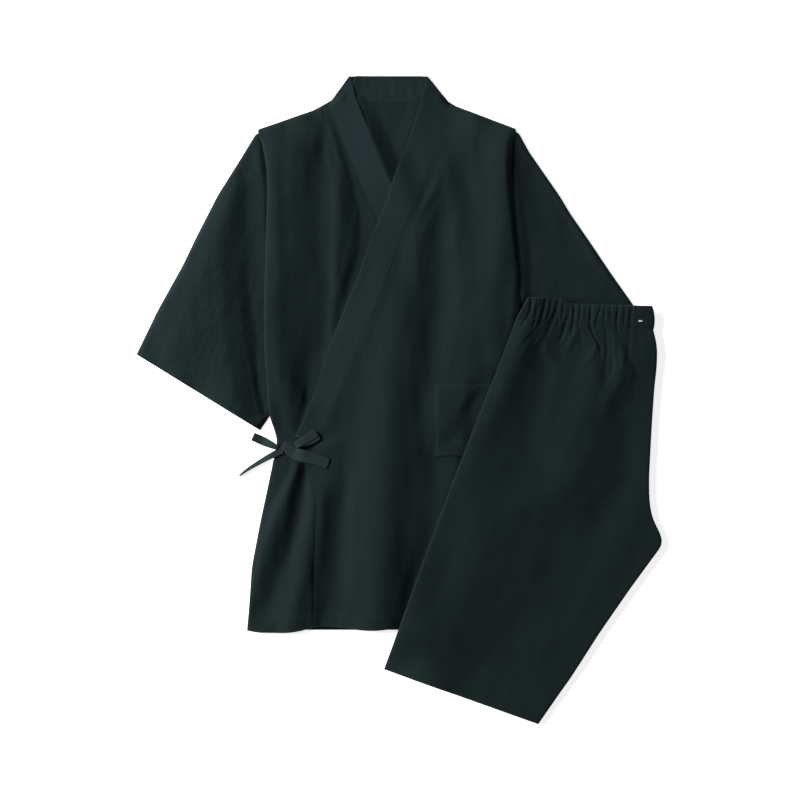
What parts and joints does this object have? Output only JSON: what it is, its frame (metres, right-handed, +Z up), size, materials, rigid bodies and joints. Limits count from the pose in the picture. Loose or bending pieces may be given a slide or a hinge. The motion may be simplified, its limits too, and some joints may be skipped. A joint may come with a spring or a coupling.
{
  "type": "jinbei set",
  "caption": "Wrap jacket with a folded collar band and a side bow, laid flat, with half-length gathered-waist trousers folded over its lower corner.",
  "frame": {"origin": "centre of the bounding box, on the surface that the set lies on", "axes": "+X across the jacket towards its left sleeve, +Y up the jacket towards its collar, +Z up from the surface"},
  "size_m": [0.7368, 0.908, 0.0216],
  "materials": {
    "jacket_cotton": "dull crinkled cotton",
    "band_cotton": "dull folded and stitched cotton",
    "trouser_cotton": "dull crinkled cotton"
  },
  "bodies": {
    "root": {"jacket_back": "jacket_cotton", "jacket_right_front": "jacket_cotton", "jacket_left_front": "jacket_cotton", "right_sleeve": "jacket_cotton", "left_sleeve": "jacket_cotton", "pocket": "jacket_cotton", "collar_band": "band_cotton", "tie_knot": "band_cotton", "tie_loop_left": "band_cotton", "tie_loop_right": "band_cotton", "tie_end_left": "band_cotton", "tie_end_right": "band_cotton", "trousers_right_leg": "trouser_cotton", "trousers_waistband": "trouser_cotton", "trousers_layers_below": "trouser_cotton"}
  },
  "joints": []
}
